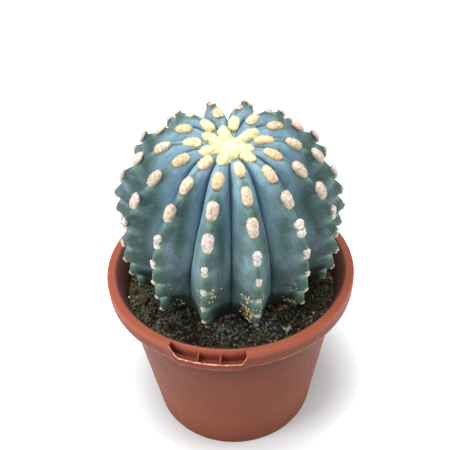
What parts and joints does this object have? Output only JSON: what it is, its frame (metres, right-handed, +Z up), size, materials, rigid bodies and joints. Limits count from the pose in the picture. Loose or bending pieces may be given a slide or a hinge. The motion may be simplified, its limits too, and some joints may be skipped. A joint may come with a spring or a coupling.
{
  "type": "potted round cactus",
  "caption": "Round blue-green ribbed cactus with pale woolly areoles and a yellow woolly crown, in a terracotta-coloured round plastic pot filled with dark soil.",
  "frame": {"origin": "middle of the pot's foot, on the surface that it stands on", "axes": "+Z up along the pot's axis, -Y towards the side that the picture shows, +X to its right"},
  "size_m": [0.19, 0.1919, 0.2618],
  "materials": {
    "pot_plastic": "moulded polypropylene, satin, terracotta colour",
    "potting_soil": "damp peat mix with fine grit, rough and dull",
    "cactus_skin": "waxy blue-green plant skin with a matte bloom",
    "areole_wool": "dense felted plant wool, fully matte"
  },
  "bodies": {
    "root": {"pot": "pot_plastic", "soil": "potting_soil", "cactus": "cactus_skin", "crown_wool": "areole_wool"}
  },
  "joints": []
}
